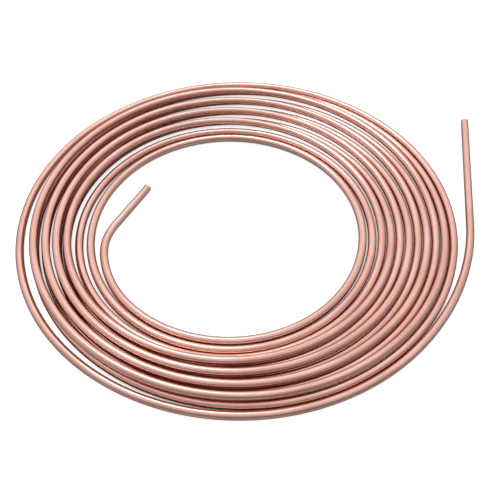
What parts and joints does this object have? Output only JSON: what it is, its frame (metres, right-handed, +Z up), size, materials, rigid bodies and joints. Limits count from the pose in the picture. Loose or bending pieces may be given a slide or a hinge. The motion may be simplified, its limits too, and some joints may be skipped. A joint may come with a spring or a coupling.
{
  "type": "copper tube coil",
  "caption": "Loose flat coil of thin copper tube with an open eye, a short bent inner end and a straight free tail, used as stock for fluid lines.",
  "frame": {"origin": "middle of the bounding box in plan, on the floor that the coil lies on", "axes": "+Z up through the eye of the coil, +X toward the side where the straight tail stands off, +Y along the tail toward its tip"},
  "size_m": [0.28, 0.2546, 0.0098],
  "materials": {
    "copper": "bright satin drawn surface"
  },
  "bodies": {
    "root": {"copper_tube": "copper"}
  },
  "joints": []
}
